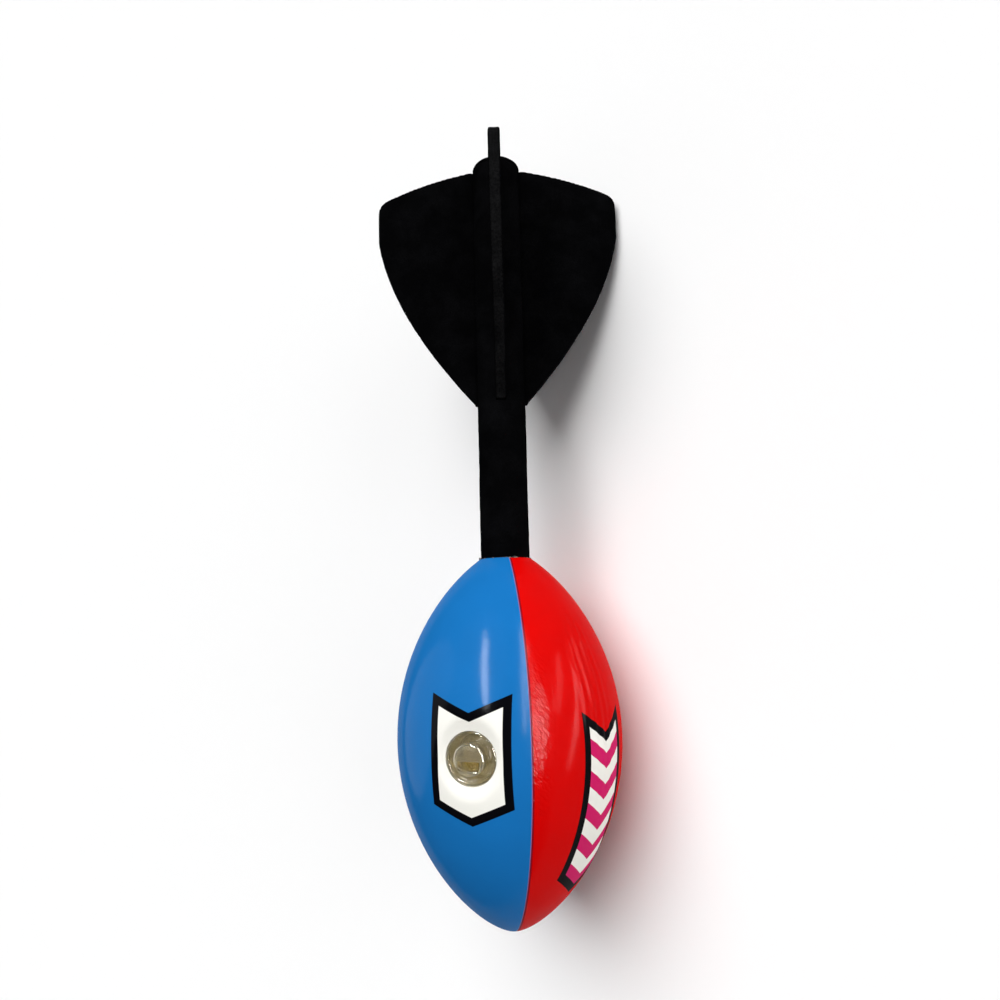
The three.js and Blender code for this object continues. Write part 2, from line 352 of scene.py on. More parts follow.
def rounded(bm, offset):
    """Rounds the sharp corners of a bmesh's line, apart from those on the axis."""
    sharp = math.radians(30)
    bends = [v for v in bm.verts if v.co.x > WELD and v.calc_edge_angle(0.0) > sharp]
    return bevelled(bm, bends, offset, "VERTICES")


def moved(bm, matrix):
    """Carries a bmesh to another place."""
    bmesh.ops.transform(bm, matrix=matrix, verts=bm.verts)
    return bm


def block(low, high):
    """A bmesh of a box from its low corner to its high corner."""
    bm = bmesh.new()
    bmesh.ops.create_cube(bm, size=1.0)
    low, high = Vector(low), Vector(high)
    bmesh.ops.scale(bm, vec=high - low, verts=bm.verts)
    bmesh.ops.translate(bm, vec=(low + high) / 2, verts=bm.verts)
    return bm


def in_scene(name, data):
    """Some data as a new object in the scene."""
    made = bpy.data.objects.new(name, data)
    bpy.context.scene.collection.objects.link(made)
    return made


def meshed(name, bm):
    """A bmesh, which is used up, as a new object in the scene."""
    mesh = bpy.data.meshes.new(name)
    bm.to_mesh(mesh)
    bm.free()
    return in_scene(name, mesh)


def dropped(holder):
    """Removes an object that only held a mesh."""
    mesh = holder.data
    bpy.data.objects.remove(holder)
    bpy.data.meshes.remove(mesh)


def shaped(bm, *steps):
    """A bmesh after modifiers, each given as its type and its settings."""
    holder = meshed("held", bm)
    for kind, settings in steps:
        modifier = holder.modifiers.new(kind, kind)
        for name, value in settings.items():
            setattr(modifier, name, value)
    bpy.context.view_layer.update()
    result = bmesh.new()
    result.from_object(holder, bpy.context.evaluated_depsgraph_get())
    dropped(holder)
    return result


def joined(bm, tool, operation):
    """A bmesh after a boolean with another, which is used up."""
    holder = meshed("held", tool)
    settings = {"object": holder, "operation": operation, "solver": "EXACT"}
    result = shaped(bm, ("BOOLEAN", settings))
    dropped(holder)
    return result


def roughen(bm, height, size):
    """Moves the vertices along their normals by smooth noise."""
    bm.normal_update()
    moves = [(v, v.normal * height * noise.noise(v.co / size)) for v in bm.verts]
    for v, move in moves:
        v.co += move
    return bm


def mark_cut(bm, amount, is_cut):
    """Marks the vertices where the foam is cut, told by their normals, for its material."""
    bm.normal_update()
    layer = bm.verts.layers.float.new(CUT)
    for v in bm.verts:
        v[layer] = amount if is_cut(v.normal) else 0.0
    return bm


def piece(name, bm, finishes, slot, *nodes):
    """Puts a bmesh that was made in the toy's frame into the scene as one finished piece."""
    made = meshed(name, moved(bm, toy_place()))
    for finish in finishes:
        made.data.materials.append(finish)
    made.data.shade_smooth()
    made.data.set_sharp_from_angle(angle=SHARP_ANGLE)
    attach(made, "root")
    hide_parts(*nodes)
    return made


class Finish:
    """A new material, with short calls that add nodes to its tree."""

    def __init__(self, name, **sockets):
        self.material = bpy.data.materials.new(name)
        self.material.use_nodes = True
        self.tree = self.material.node_tree
        self.shader = self.tree.nodes["Principled BSDF"]
        for socket, value in sockets.items():
            self.shader.inputs[socket.replace("_", " ")].default_value = value

    def add(self, kind, values, **settings):
        """Adds a node. Its values are numbers or other nodes' outputs."""
        node = self.tree.nodes.new(kind)
        for name, value in settings.items():
            setattr(node, name, value)
        for key, value in dict(values).items():
            if isinstance(value, bpy.types.NodeSocket):
                self.tree.links.new(value, node.inputs[key])
            else:
                node.inputs[key].default_value = value
        return node

    def math(self, operation, *values):
        """The result of a Math node."""
        return self.add("ShaderNodeMath", enumerate(values), operation=operation).outputs[0]

    def mix(self, part, first, second):
        """A colour between two others."""
        values = {0: part, 6: first, 7: second}
        return self.add("ShaderNodeMix", values, data_type="RGBA").outputs[2]

    def noise(self, point, scale, detail=3.0, roughness=0.5):
        """A noise from 0 to 1."""
        values = {"Vector": point, "Scale": scale, "Detail": detail, "Roughness": roughness}
        return self.add("ShaderNodeTexNoise", values).outputs["Fac"]

    def cells(self, point, scale):
        """The distance to the middle of each cell of a foam."""
        values = {"Vector": point, "Scale": scale}
        return self.add("ShaderNodeTexVoronoi", values).outputs["Distance"]

    def spread(self, value, low, high, out_low=0.0, out_high=1.0):
        """A value mapped from one range to another, and kept inside it."""
        values = {"Value": value, "From Min": low, "From Max": high}
        values.update({"To Min": out_low, "To Max": out_high})
        return self.add("ShaderNodeMapRange", values).outputs["Result"]

    def point_in(self, place=Matrix(), stretch=(1.0, 1.0, 1.0)):
        """The surface point in millimetres, seen from a frame placed in the toy's."""
        coordinates = self.add("ShaderNodeTexCoord", {}).outputs["Object"]
        inverse = (toy_place() @ place).inverted()
        values = {"Vector": coordinates, "Scale": (PER_MM, PER_MM, PER_MM)}
        values["Rotation"] = inverse.to_euler()
        values["Location"] = inverse.translation * PER_MM
        seen = self.add("ShaderNodeMapping", values).outputs["Vector"]
        if stretch == (1.0, 1.0, 1.0):
            return seen
        return self.add("ShaderNodeMapping", {"Vector": seen, "Scale": stretch}).outputs["Vector"]

    def axes(self, point):
        """A point's three numbers."""
        return self.add("ShaderNodeSeparateXYZ", {"Vector": point}).outputs

    def bump(self, *heights):
        """Puts bumps on the surface, each given as its height signal and its depth in mm."""
        normal = None
        for height, depth in heights:
            values = {"Height": height, "Distance": depth / PER_MM, "Strength": 1.0}
            if normal is not None:
                values["Normal"] = normal
            normal = self.add("ShaderNodeBump", values).outputs["Normal"]
        for socket in ("Normal", "Coat Normal"):
            self.tree.links.new(normal, self.shader.inputs[socket])

    def wear(self, **outputs):
        """Links node outputs to the shader's sockets."""
        for socket, output in outputs.items():
            self.tree.links.new(output, self.shader.inputs[socket.replace("_", " ")])

    def inside(self, distance):
        """1 where a distance in mm is below zero and 0 beyond it, with a fine soft edge."""
        soft = 0.05
        return self.spread(distance, soft, -soft)

    def arrow(self, point, half_width, low, high, slope):
        """The distance in mm to a band with an arrow's foot and a notched top, and its lean."""
        x, y, _ = self.axes(point)
        across = self.math("ABSOLUTE", x)
        lean = self.math("SUBTRACT", y, self.math("MULTIPLY", across, slope))
        square = 1.0 / math.sqrt(1.0 + slope * slope)
        beside = self.math("SUBTRACT", across, half_width)
        above = self.math("MULTIPLY", self.math("SUBTRACT", lean, high), square)
        below = self.math("MULTIPLY", self.math("SUBTRACT", low, lean), square)
        return self.math("MAXIMUM", beside, self.math("MAXIMUM", above, below)), lean


def opaque(rgb, times=1.0):
    """A linear colour with full alpha, made darker or paler by a factor."""
    return (*(min(1.0, value * times) for value in rgb), 1.0)


def film(name, base, edge, edge_width):
    """Glossy film: its point, its distances from the seam, and its colour, with another there."""
    finish = Finish(
        name, Coat_Weight=0.15, Coat_Roughness=0.14, Coat_IOR=1.3, Specular_IOR_Level=0.0
    )
    point = finish.point_in()
    clouds = finish.noise(point, scale=0.06, detail=2.0)
    ground = finish.mix(finish.spread(clouds, 0.3, 0.7), opaque(base, 0.95), opaque(base))
    from_seam = finish.axes(finish.point_in(turn_about_tail(sizes("ball").seam_turn)))
    beside = finish.math("ABSOLUTE", from_seam[0])
    # On the red film this edge colour is painted shade along the seam. On the blue film it is the pale
    # backing showing at the cut edge.
    at_edge = finish.spread(beside, edge_width * 1.2, edge_width * 0.8)
    return finish, point, from_seam, finish.mix(at_edge, ground, opaque(edge))


def film_surface(finish, point, grain_depth):
    """The film's roughness and its fine surface: orange peel, grain and long fine scratches."""
    peel = finish.noise(point, scale=0.55, detail=2.0)
    grain = finish.noise(point, scale=2.6, detail=3.0, roughness=0.6)
    streak_point = finish.point_in(stretch=(6.0, 0.35, 6.0))
    streaks = finish.noise(streak_point, scale=0.5, detail=2.0)
    patches = finish.noise(point, scale=0.12, detail=3.0)
    rough = finish.math(
        "ADD",
        finish.spread(patches, 0.3, 0.7, 0.24, 0.34),
        finish.spread(streaks, 0.45, 0.8, 0.0, 0.10),
    )
    finish.wear(Roughness=rough)
    peel_depth, streak_depth = 0.03, 0.004
    return [(peel, peel_depth), (grain, grain_depth), (streaks, streak_depth)]


def put_print(finish, ground, distance, outline, inner):
    """Prints a shape with a black outline on the film, where a distance in mm is below zero."""
    with_black = finish.mix(finish.inside(distance), ground, opaque(sizes("colours").black))
    field = finish.inside(finish.math("ADD", distance, outline))
    finish.wear(Base_Color=finish.mix(field, with_black, inner))


def blue_film():
    """Blue film with a notched white arrow, outlined in black, round each whistle."""
    colours = sizes("colours")
    finish, point, _, ground = film("blue_film", colours.blue, colours.pale_edge, 0.3)
    distances = []
    for turn in whistle_turns():
        seen = finish.point_in(whistle_place(turn))
        distance, _ = finish.arrow(seen, half_width=12.8, low=-19.5, high=13.5, slope=0.42)
        distances.append(distance)
    nearest = finish.math("MINIMUM", *distances)
    put_print(finish, ground, nearest, 2.5, opaque(colours.white))
    finish.bump(*film_surface(finish, point, grain_depth=0.003))
    return finish.material


def red_film():
    """Red film with a black-outlined band of magenta and white arrows on each side."""
    colours = sizes("colours")
    # The red film's edge colour, 0.45 mm wide at the seam, is painted shade.
    finish, point, from_seam, ground = film("red_film", colours.red, colours.painted_seam_shade, 0.45)
    red_middle = blue_middle() + math.pi
    band_turn = math.radians(48)
    distances, leans = [], []
    for turn in (red_middle - band_turn, red_middle + band_turn):
        seen = finish.point_in(turn_about_tail(turn))
        distance, lean = finish.arrow(seen, half_width=10.2, low=-47.0, high=4.0, slope=0.7)
        distances.append(distance)
        leans.append(lean)
    first_side = finish.math("LESS_THAN", *distances)
    nearest = finish.math("MINIMUM", *distances)
    lean = finish.math(
        "ADD",
        finish.math("MULTIPLY", leans[0], first_side),
        finish.math("MULTIPLY", leans[1], finish.math("SUBTRACT", 1.0, first_side)),
    )
    pitch = 9.5
    wave = finish.math("PINGPONG", lean, pitch / 2)
    bars = finish.inside(finish.math("SUBTRACT", wave, pitch / 4))
    inner = finish.mix(bars, opaque(colours.magenta), opaque(colours.white))
    put_print(finish, ground, nearest, 2.4, inner)
    near_seam = finish.spread(from_seam[0], 7.5, 2.5)
    below_mouth = finish.spread(from_seam[1], 36.0, 20.0)
    above_nose = finish.spread(from_seam[1], -26.0, -12.0)
    creased = finish.math("MULTIPLY", finish.math("MULTIPLY", near_seam, below_mouth), above_nose)
    slant = Matrix.Rotation(math.radians(42), 4, "Z")
    slanted = finish.point_in(slant, (1.0, 0.4, 1.0))
    creases = finish.math("MULTIPLY", finish.noise(slanted, scale=1.2, detail=2.0), creased)
    crease_depth = 0.3
    finish.bump((creases, crease_depth), *film_surface(finish, point, grain_depth=0.006))
    return finish.material


def skin_backing():
    """The pale foam backing that shows on the covers' cut edges."""
    finish = Finish("skin_backing", Roughness=0.85)
    point = finish.point_in()
    cells = finish.noise(point, scale=3.0, detail=4.0, roughness=0.7)
    pale = sizes("colours").white
    finish.wear(Base_Color=finish.mix(cells, opaque(pale, 0.7), opaque(pale)))
    finish.bump((cells, 0.05))
    return finish.material


def core_foam():
    """Cream moulded foam with fine open cells."""
    finish = Finish("core_foam", Roughness=0.95)
    cells = finish.cells(finish.point_in(), scale=1.6)
    base = sizes("colours").core
    shade = finish.spread(cells, 0.1, 0.6)
    finish.wear(Base_Color=finish.mix(shade, opaque(base, 0.62), opaque(base)))
    finish.bump((cells, 0.15))
    return finish.material


def tail_foam():
    """Black closed-cell foam: matt, with a faint dusty bloom, and paler open cells where it is cut. On
    the cap's top the paler colour is also painted light from above.
    """
    finish = Finish(FOAM, Specular_IOR_Level=0.0)
    colours = sizes("colours")
    point = finish.point_in()
    cells = finish.cells(point, scale=2.4)
    grain = finish.noise(point, scale=5.0, detail=4.0, roughness=0.7)
    dust = finish.noise(point, scale=0.09, detail=4.0, roughness=0.65)
    bloom = finish.math("MULTIPLY", finish.spread(dust, 0.4, 0.75), finish.spread(grain, 0.35, 0.7))
    closed = finish.mix(bloom, opaque(colours.foam), opaque(colours.foam, 4.0))
    cut = finish.add("ShaderNodeAttribute", {}, attribute_name=CUT).outputs["Fac"]
    torn = finish.noise(point, scale=1.5, detail=4.0, roughness=0.7)
    opened = finish.math("MULTIPLY", cut, finish.spread(torn, 0.34, 0.68, 0.15, 1.2))
    opened = finish.math("MULTIPLY", opened, finish.spread(dust, 0.35, 0.65, 0.5, 1.3))
    finish.wear(Base_Color=finish.mix(opened, closed, opaque(colours.cut_foam)))
    finish.wear(Roughness=finish.spread(grain, 0.3, 0.7, 0.78, 0.95))
    finish.bump((cells, 0.07), (grain, 0.05))
    return finish.material


def smoky_plastic(name, base, clearness, cover, turn=None):
    """Smoky clear moulded plastic with faint flow lines, amber in the chamber of a cup, where the amber
    is partly the chamber's tint and partly painted light scattered inside it.
    """
    finish = Finish(
        name,
        Transmission_Weight=clearness,
        Alpha=cover,
        IOR=1.57,
        Specular_IOR_Level=1.0,
        Coat_Weight=1.0,
        Coat_Roughness=0.03,
        Coat_IOR=1.57,
    )
    point = finish.point_in()
    flow_point = finish.point_in(stretch=(0.3, 1.6, 1.0))
    flow = finish.noise(flow_point, scale=0.35, detail=3.0)
    shade = finish.mix(finish.spread(flow, 0.35, 0.65), opaque(base), opaque(base, 1.2))
    # Painted light: deeper in the cup's chamber the plastic turns a bright amber, which stands for
    # light scattered inside as well as for its tint.
    if turn is not None:
        height = finish.axes(finish.point_in(whistle_place(turn)))[2]
        floor = (cup_rim() - sizes("whistle").groove) * PER_MM
        first, full = 1.0, 2.5
        deep = finish.spread(height, floor - first, floor - full)
        shade = finish.mix(deep, shade, opaque(sizes("colours").amber))
    finish.wear(Base_Color=shade)
    finish.wear(Roughness=finish.spread(flow, 0.3, 0.7, 0.05, 0.13))
    finish.bump((finish.noise(point, scale=0.8, detail=2.0), 0.02))
    return finish.material


def white_plastic():
    """Natural white plastic with a fine moulded grain."""
    finish = Finish("white_plastic", Subsurface_Weight=0.05)
    point = finish.point_in()
    grain = finish.noise(point, scale=2.0, detail=4.0, roughness=0.6)
    base = sizes("colours").plastic
    finish.wear(Base_Color=finish.mix(grain, opaque(base, 0.88), opaque(base)))
    finish.wear(Roughness=finish.spread(grain, 0.3, 0.7, 0.38, 0.55))
    finish.bump((grain, 0.02))
    return finish.material


def glue():
    """Dried glue: dark crumbs of foam, with a few flecks of milky beige between them."""
    finish = Finish("dried_glue", Specular_IOR_Level=0.2)
    point = finish.point_in()
    crumbs = finish.noise(point, scale=0.9, detail=3.0, roughness=0.6)
    beige = (0.24, 0.20, 0.14, 1.0)
    dark = opaque(sizes("colours").foam)
    finish.wear(Base_Color=finish.mix(finish.spread(crumbs, 0.38, 0.43), beige, dark))
    finish.wear(Roughness=finish.spread(crumbs, 0.4, 0.6, 0.35, 0.85))
    finish.bump((crumbs, 0.1))
    return finish.material


def dish_height(x, y):
    """From the toy's axis to the cover's surface near a whistle, whose frame x and y are in."""
    whistle = sizes("whistle")
    hole = whistle.cup + sizes("ball").gap
    crown = math.sqrt(radius_at(y - whistle.to_nose) ** 2 - x * x)
    slope = whistle.dish_rise / (whistle.dish_radius - whistle.cup)
    cone = cup_rim() + slope * (math.hypot(x, y) - hole)
    soft = 0.0006
    reach = max(soft - abs(crown - cone), 0.0) / soft
    return min(crown, cone) - reach * reach * soft / 4


def open_patch(bm, inverse, radius):
    """Deletes the faces to just past a radius and returns the edges round the opening."""
    cleared, searched = 1.09, 1.18

    def beside(point, times):
        seen = inverse @ point
        return seen.z > 0.0 and seen.xy.length < radius * times

    doomed = [f for f in bm.faces if beside(f.calc_center_median(), cleared)]
    bmesh.ops.delete(bm, geom=doomed, context="FACES")
    return [
        e
        for e in bm.edges
        if e.is_boundary and beside((e.verts[0].co + e.verts[1].co) / 2, searched)
    ]


def sink_dish(bm, place):
    """Meshes a fine dish, open in its middle for the whistle's cup, into a cover half."""
    whistle, steps = sizes("whistle"), sizes("steps")
    inverse = place.inverted()
    edge_loop = open_patch(bm, inverse, whistle.patch)
    made = bmesh.ops.create_circle(bm, segments=steps.patch_steps, radius=whistle.patch, matrix=place)
    ring = list({e for v in made["verts"] for e in v.link_edges})
    hole = whistle.cup + sizes("ball").gap

    def settle(verts, radius):
        for v in verts:
            seen = inverse @ v.co
            seen.xy = seen.xy.normalized() * radius
            seen.z = dish_height(seen.x, seen.y)
            v.co = place @ seen

    settle(made["verts"], whistle.patch)
    bmesh.ops.bridge_loops(bm, edges=edge_loop + ring)
    for index in range(1, steps.patch_rings + 1):
        made = bmesh.ops.extrude_edge_only(bm, edges=ring)["geom"]
        verts = [g for g in made if isinstance(g, bmesh.types.BMVert)]
        ring = [g for g in made if isinstance(g, bmesh.types.BMEdge) and set(g.verts) <= set(verts)]
        settle(verts, whistle.patch + (hole - whistle.patch) * index / steps.patch_rings)


def fold_film(bm):
    """Raises the long soft folds in the film, to one side of the cover's middle."""
    ball = sizes("ball")
    fold_pitch = math.radians(5.2)
    first, last = math.radians(-66), math.radians(-36)
    middle, half_length = 0.012, 0.036
    waver_height, waver_length = 0.3, 0.02
    bm.normal_update()
    for v in bm.verts:
        turn = math.atan2(v.co.x, v.co.z)
        if not first < turn < last:
            continue
        fade = math.sin(math.pi * (turn - first) / (last - first))
        along = math.cos(min(1.0, abs(v.co.y - middle) / half_length) * math.pi / 2)
        waver = waver_height * noise.noise(Vector((0.0, v.co.y / waver_length, 0.0)))
        ridge = math.sin(math.tau * turn / fold_pitch + waver * math.tau)
        v.co += v.normal * ball.fold * ridge * fade * along


def cover_half(turn, with_whistles):
    """One half of the ball's skin, as a closed shell."""
    ball, steps = sizes("ball"), sizes("steps")
    outline = ball_outline(0.0, mouth()[0], steps.ball_rings)
    bm = spun(wire(outline), steps.ball_steps, start=math.pi, sweep=math.pi)
    bmesh.ops.bisect_plane(
        bm,
        geom=bm.verts[:] + bm.edges[:] + bm.faces[:],
        plane_co=(0.0, 0.0, ball.seam / 2),
        plane_no=(0.0, 0.0, 1.0),
        clear_inner=True,
    )
    if with_whistles:
        for side in (1, -1):
            sink_dish(bm, whistle_place(side * sizes("whistle").turn))
    bmesh.ops.recalc_face_normals(bm, faces=bm.faces)
    if sum(f.normal.dot(f.calc_center_median()) for f in bm.faces) < 0:
        bmesh.ops.reverse_faces(bm, faces=bm.faces)
    if not with_whistles:
        fold_film(bm)
    thick = {
        "thickness": ball.cover,
        "offset": -1.0,
        "use_even_offset": True,
        "material_offset": 1,
        "material_offset_rim": 1,
    }
    return moved(shaped(bm, ("SOLIDIFY", thick)), turn_about_tail(turn))


def core_body():
    """The foam core with the tail's bores, and pockets for the whistles."""
    ball, tail, whistle, steps = sizes("ball"), sizes("tail"), sizes("whistle"), sizes("steps")
    mouth_radius, mouth_height = mouth()
    gap = ball.gap
    rings = 60
    foot = mouth_height - tail.anchor_depth
    hub_top = foot + tail.anchor_length + gap
    flange_top = foot + tail.flange_depth + gap
    socket = mouth_height - tail.in_ball - gap
    pairs = ball_outline(ball.cover + gap, mouth_radius, rings)
    pairs += [
        (mouth_radius, socket),
        (tail.rod + gap, socket),
        (tail.rod + gap, hub_top),
        (tail.anchor_hub + gap, hub_top),
        (tail.anchor_hub + gap, flange_top),
        (tail.anchor_flange + gap, flange_top),
        (tail.anchor_flange + gap, foot - gap),
        (0.0, foot - gap),
    ]
    bm = spun(wire(pairs), steps.round_steps)
    hole = whistle.cup + gap
    foot_z = cup_rim() - whistle.depth - gap
    ledge = cup_rim() - ball.cover - gap
    slope = whistle.dish_rise / (whistle.dish_radius - whistle.cup)
    reach = whistle.patch + ball.cover
    for turn in whistle_turns():
        pocket = [
            (0.0, foot_z),
            (hole, foot_z),
            (hole, ledge),
            (reach, ledge + slope * (reach - hole)),
            (reach, ball.radius),
            (0.0, ball.radius),
        ]
        bm = joined(bm, facing_out(spun(wire(pocket), steps.round_steps), turn), "DIFFERENCE")
    return bm


def facing_out(bm, turn):
    """Carries a bmesh turned about +Y to a whistle's place, its axis out of the ball."""
    upright = Matrix.Rotation(math.pi / 2, 4, "X")
    return moved(bm, whistle_place(turn) @ upright)


def whistle_cup(turn):
    """A whistle's cup: the outer wall, the groove round the drum and the chamber."""
    whistle = sizes("whistle")
    rim = cup_rim()
    foot = rim - whistle.depth
    groove = rim - whistle.groove
    chamber = whistle.drum - whistle.wall
    pairs = [
        (0.0, foot),
        (whistle.cup, foot),
        (whistle.cup, rim),
        (whistle.cup - whistle.wall, rim),
        (whistle.cup - whistle.wall, groove),
        (chamber, groove),
        (chamber, foot + whistle.floor),
        (0.0, foot + whistle.floor),
    ]
    bm = spun(rounded(wire(pairs), whistle.round), sizes("steps").round_steps)
    return facing_out(bm, turn)


def soft_block(low, high, offset):
    """A box with rounded edges."""
    bm = block(low, high)
    return bevelled(bm, bm.edges[:], offset, "EDGES")


def shoulder(radius, top, width, drop):
    """[radius, height] pairs from the flat top of a turned piece round to its side."""
    steps = 10
    bends = [math.pi / 2 * step / steps for step in range(steps + 1)]
    return [(radius - width * (1 - math.sin(b)), top - drop * (1 - math.cos(b))) for b in bends]


def whistle_drum(turn):
    """A whistle's drum: an upturned cup with the air slot and its lip on the nose side."""
    whistle, gap = sizes("whistle"), sizes("ball").gap
    groove = cup_rim() - whistle.groove
    foot = groove + gap
    top = groove + whistle.drum_height
    bore = whistle.drum - whistle.wall
    pairs = [(0.0, top), *shoulder(whistle.drum, top, whistle.crown, whistle.crown)]
    pairs += [
        (whistle.drum, foot),
        (bore, foot),
        (bore, top - whistle.wall),
        (0.0, top - whistle.wall),
    ]
    bm = spun(rounded(wire(pairs), whistle.round), sizes("steps").round_steps)
    half = whistle.slot_width / 2
    low = whistle.slot_to_nose - whistle.slot_height / 2
    high = whistle.slot_to_nose + whistle.slot_height / 2
    over = whistle.wall * 2
    slot = soft_block((-half, top - over, low), (half, top + over, high), whistle.round)
    bm = joined(bm, slot, "DIFFERENCE")
    half_lip = whistle.lip_width / 2
    lip_low = (-half_lip, top - whistle.wall / 2, high)
    lip_high = (half_lip, top + whistle.lip, high + whistle.lip_thickness)
    bm = joined(bm, soft_block(lip_low, lip_high, whistle.round * 0.6), "UNION")
    return facing_out(bm, turn)


def sleeve_body():
    """The foam sleeve with its bore and the four fin slots."""
    ball, tail, fin, steps = sizes("ball"), sizes("tail"), sizes("fin"), sizes("steps")
    foot, top = sleeve_heights()
    bore = tail.rod + ball.gap
    climb = (top - foot) / steps.sleeve_rings
    outer = [(tail.radius, foot + climb * ring) for ring in range(steps.sleeve_rings + 1)]
    bm = spun(wire([(bore, foot), *outer, (bore, top)], closed=True), steps.round_steps)
    roughen(bm, height=0.00009, size=0.0035)
    roughen(bm, height=0.00012, size=0.02)
    half = fin.tab / 2 + ball.gap
    over = fin.slot
    low = (tail.radius - fin.slot, fin_heights()[0] - ball.gap, -half)
    high = (tail.radius + over, top + over, half)
    for index in range(len(FIN_SIDES)):
        slot = moved(block(low, high), turn_about_tail(index * math.pi / 2))
        bm = joined(bm, slot, "DIFFERENCE")
    return bm


def cap_body():
    """The domed foam cap with its plug in the sleeve's bore. Its top is marked as pale cut foam, which
    is partly painted light from above.
    """
    tail, gap = sizes("tail"), sizes("ball").gap
    foot = sleeve_heights()[1] + gap
    top = foot + tail.cap_height
    pairs = [(0.0, foot - gap - tail.cap_plug), (tail.rod, foot - gap - tail.cap_plug)]
    pairs += [(tail.rod, foot), (tail.radius, foot)]
    pairs += reversed(shoulder(tail.radius, top, tail.cap_round, tail.cap_drop))
    flat, top_steps = tail.radius - tail.cap_round, 8
    pairs += [(flat * (1 - step / top_steps), top) for step in range(1, top_steps + 1)]
    bm = spun(wire(pairs), sizes("steps").round_steps)
    roughen(bm, height=0.0001, size=0.003)
    # Painted light: the cap's faces that look up the tail are made paler, both as cut foam and as light
    # falling from above.
    lit_upward, paleness = 0.62, 1.0
    return mark_cut(bm, paleness, lambda normal: normal.y > lit_upward)


def bent(start, pull, end, steps):
    """Points along a quadratic curve, without its start."""
    points = []
    for step in range(1, steps + 1):
        t = step / steps
        points.append(start * (1 - t) ** 2 + pull * 2 * t * (1 - t) + end * t ** 2)
    return points


def fin_outline():
    """The outline of a fin's sheet: out along +X, up the tail along +Y."""
    ball, tail, fin = sizes("ball"), sizes("tail"), sizes("fin")
    foot, top = fin_heights()
    inner = tail.radius + ball.gap
    taper_shares, top_shares = (0.912, 0.394), (0.607, 0.96)
    curve_steps, corner_steps = 28, 8
    start = Vector((inner, foot))
    tip_foot = Vector((fin.span, foot + fin.tip_share * fin.chord))
    taper_pull = Vector((taper_shares[0] * fin.span, foot + taper_shares[1] * fin.chord))
    corner = Vector((fin.span, foot + fin.corner_share * fin.chord))
    top_pull = Vector((top_shares[0] * fin.span, foot + top_shares[1] * fin.chord))
    corner_start = corner - Vector((0.0, fin.corner))
    corner_end = corner + (top_pull - corner).normalized() * fin.corner
    points = [start, *bent(start, taper_pull, tip_foot, curve_steps), corner_start]
    points += bent(corner_start, corner, corner_end, corner_steps)
    points += bent(corner_end, top_pull, Vector((inner, top)), curve_steps)
    return points


def fin_body(turn, shift):
    """One foam fin: a sheet and its thinner tab, remeshed and softened as cut foam is."""
    ball, tail, fin = sizes("ball"), sizes("tail"), sizes("fin")
    bm = bmesh.new()
    half = fin.thickness / 2
    face = bm.faces.new([bm.verts.new((*point, -half)) for point in fin_outline()])
    made = bmesh.ops.extrude_face_region(bm, geom=[face])["geom"]
    lifted = [g for g in made if isinstance(g, bmesh.types.BMVert)]
    bmesh.ops.translate(bm, vec=(0.0, 0.0, fin.thickness), verts=lifted)
    bmesh.ops.recalc_face_normals(bm, faces=bm.faces)
    foot, top = fin_heights()
    inner = tail.radius + ball.gap
    low = (tail.radius - fin.slot + ball.gap, foot, -fin.tab / 2)
    high = (inner + fin.grain, top - ball.gap, fin.tab / 2)
    bm = joined(bm, block(low, high), "UNION")
    remesh = {"mode": "VOXEL", "voxel_size": fin.grain, "use_smooth_shade": True}
    bm = shaped(bm, ("REMESH", remesh), ("SMOOTH", {"factor": 0.5, "iterations": 3}))
    root = inner + fin.thickness
    wave_height, wave_across, wave_along = 0.00045, 0.03, 0.04
    for v in bm.verts:
        loose = max(0.0, (v.co.x - root) / (fin.span - root))
        place = Vector((v.co.x / wave_across, v.co.y / wave_along, shift))
        v.co.z += wave_height * loose * noise.noise(place)
    roughen(bm, height=0.00007, size=0.0028)
    side_on, paleness = 0.6, 0.07
    mark_cut(bm, paleness, lambda normal: abs(normal.z) < side_on)
    return moved(bm, turn_about_tail(turn))


def glue_body():
    """The uneven bead of glue where the sleeve enters the ball."""
    tail = sizes("tail")
    radius, height = mouth()
    bead, sides = 0.0003, 10
    pairs = []
    for side in range(sides):
        turn = math.tau * side / sides
        pairs.append((radius + bead * math.cos(turn), height + bead * math.sin(turn)))
    bm = spun(wire(pairs, closed=True), sizes("steps").round_steps * 2)
    lump, crumb, thinnest = 0.0026, 0.0009, 0.12
    for v in bm.verts:
        centre = Vector((v.co.x, 0.0, v.co.z)).normalized() * tail.radius
        centre.y = height - bead / 2
        size = 0.7 + noise.noise(v.co / lump) + 0.5 * noise.noise(v.co / crumb)
        v.co = centre + (v.co - centre) * max(thinnest, size)
    return bm


class TOY_OT_covers(Operator):
    """Build the blue and the red half of the ball's skin"""

    bl_idname = "toy.covers"
    bl_label = "Ball covers"

    def execute(self, context):
        backing = skin_backing()
        halves = (
            ("blue_skin", blue_film(), blue_middle(), True, "blue_skin", "blue_cover"),
            ("red_skin", red_film(), blue_middle() + math.pi, False, "red_skin", "red_cover"),
        )
        for name, finish, turn, with_whistles, slot, node in halves:
            bm = cover_half(turn, with_whistles)
            made = piece(name, bm, (finish, backing), slot, node)
        return {"FINISHED"}


class TOY_OT_core(Operator):
    """Build the moulded foam core under the covers"""

    bl_idname = "toy.core"
    bl_label = "Foam core"

    def execute(self, context):
        made = piece("ball_core", core_body(), (core_foam(),), "core_foam", "foam_core")
        return {"FINISHED"}


